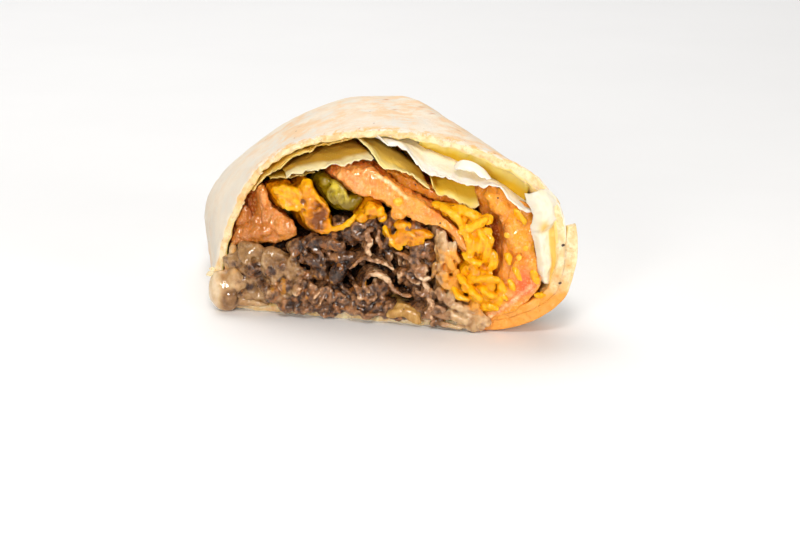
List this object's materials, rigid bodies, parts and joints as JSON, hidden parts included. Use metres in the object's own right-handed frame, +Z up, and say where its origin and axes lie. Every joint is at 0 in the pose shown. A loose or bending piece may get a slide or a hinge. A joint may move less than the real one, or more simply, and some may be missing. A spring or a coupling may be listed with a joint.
{
  "type": "steak and cheese wrap half",
  "caption": "Half of a folded tortilla wrap cut on the bias, with shaved steak, melted cheese, cheddar shreds, tomato, green pepper, onion and lettuce showing at the cut.",
  "frame": {"origin": "middle of the wrap's box, on the surface that it lies on", "axes": "+Z up; +Y back along the tortilla tube, away from the cut and towards the folded end; the cut faces -Y and -X's side, its right end nearer to -Y; +X to the right of the cut"},
  "size_m": [0.0781, 0.1031, 0.048],
  "materials": {
    "tortilla": "baked flour tortilla, matt with toasted patches",
    "steak": "shaved fried beef, moist and rough",
    "melted_cheese": "melted white cheese, wet and translucent",
    "cheddar": "grated cheddar, half melted",
    "tomato": "cut tomato, wet flesh",
    "green_pepper": "cooked green pepper, glossy",
    "onion": "fried onion, translucent",
    "lettuce": "shredded iceberg lettuce, thin and crisp"
  },
  "bodies": {
    "root": {"cheddar_left": "cheddar", "cheddar_middle": "cheddar", "cheddar_right": "cheddar", "green_pepper": "green_pepper", "lettuce_big": "lettuce", "lettuce_curl": "lettuce", "lettuce_deep": "lettuce", "lettuce_deep_right": "lettuce", "lettuce_flake": "lettuce", "lettuce_front_left": "lettuce", "lettuce_left_back": "lettuce", "lettuce_left_low": "lettuce", "lettuce_middle": "lettuce", "lettuce_under": "lettuce", "melted_cheese_corner": "melted_cheese", "melted_cheese_right": "melted_cheese", "onion": "onion", "steak": "steak", "tomato_behind": "tomato", "tomato_front": "tomato", "tomato_left": "tomato", "tomato_right": "tomato", "tortilla": "tortilla"}
  },
  "joints": []
}
